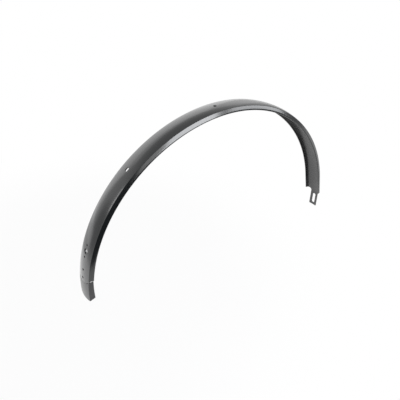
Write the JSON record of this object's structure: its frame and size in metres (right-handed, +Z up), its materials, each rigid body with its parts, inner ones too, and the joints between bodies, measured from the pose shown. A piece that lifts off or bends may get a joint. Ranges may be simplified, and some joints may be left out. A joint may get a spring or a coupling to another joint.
{
  "type": "bicycle mudguard",
  "caption": "Rear bicycle mudguard: a long curved channel of rolled sheet with domed crown, hemmed walls and fixing holes, a slotted front tongue and a moulded flap at the rear end.",
  "frame": {"origin": "on the axle of the wheel that the mudguard goes round, midway between its walls", "axes": "+X forward along the bicycle, towards the slotted tongue; +Y to the bicycle's left; +Z up"},
  "size_m": [0.748, 0.056, 0.412],
  "materials": {
    "blade_sheet": "satin black coating",
    "flap_plastic": "fine matte"
  },
  "bodies": {
    "root": {"blade": "blade_sheet", "end_flap": "flap_plastic"}
  },
  "joints": []
}
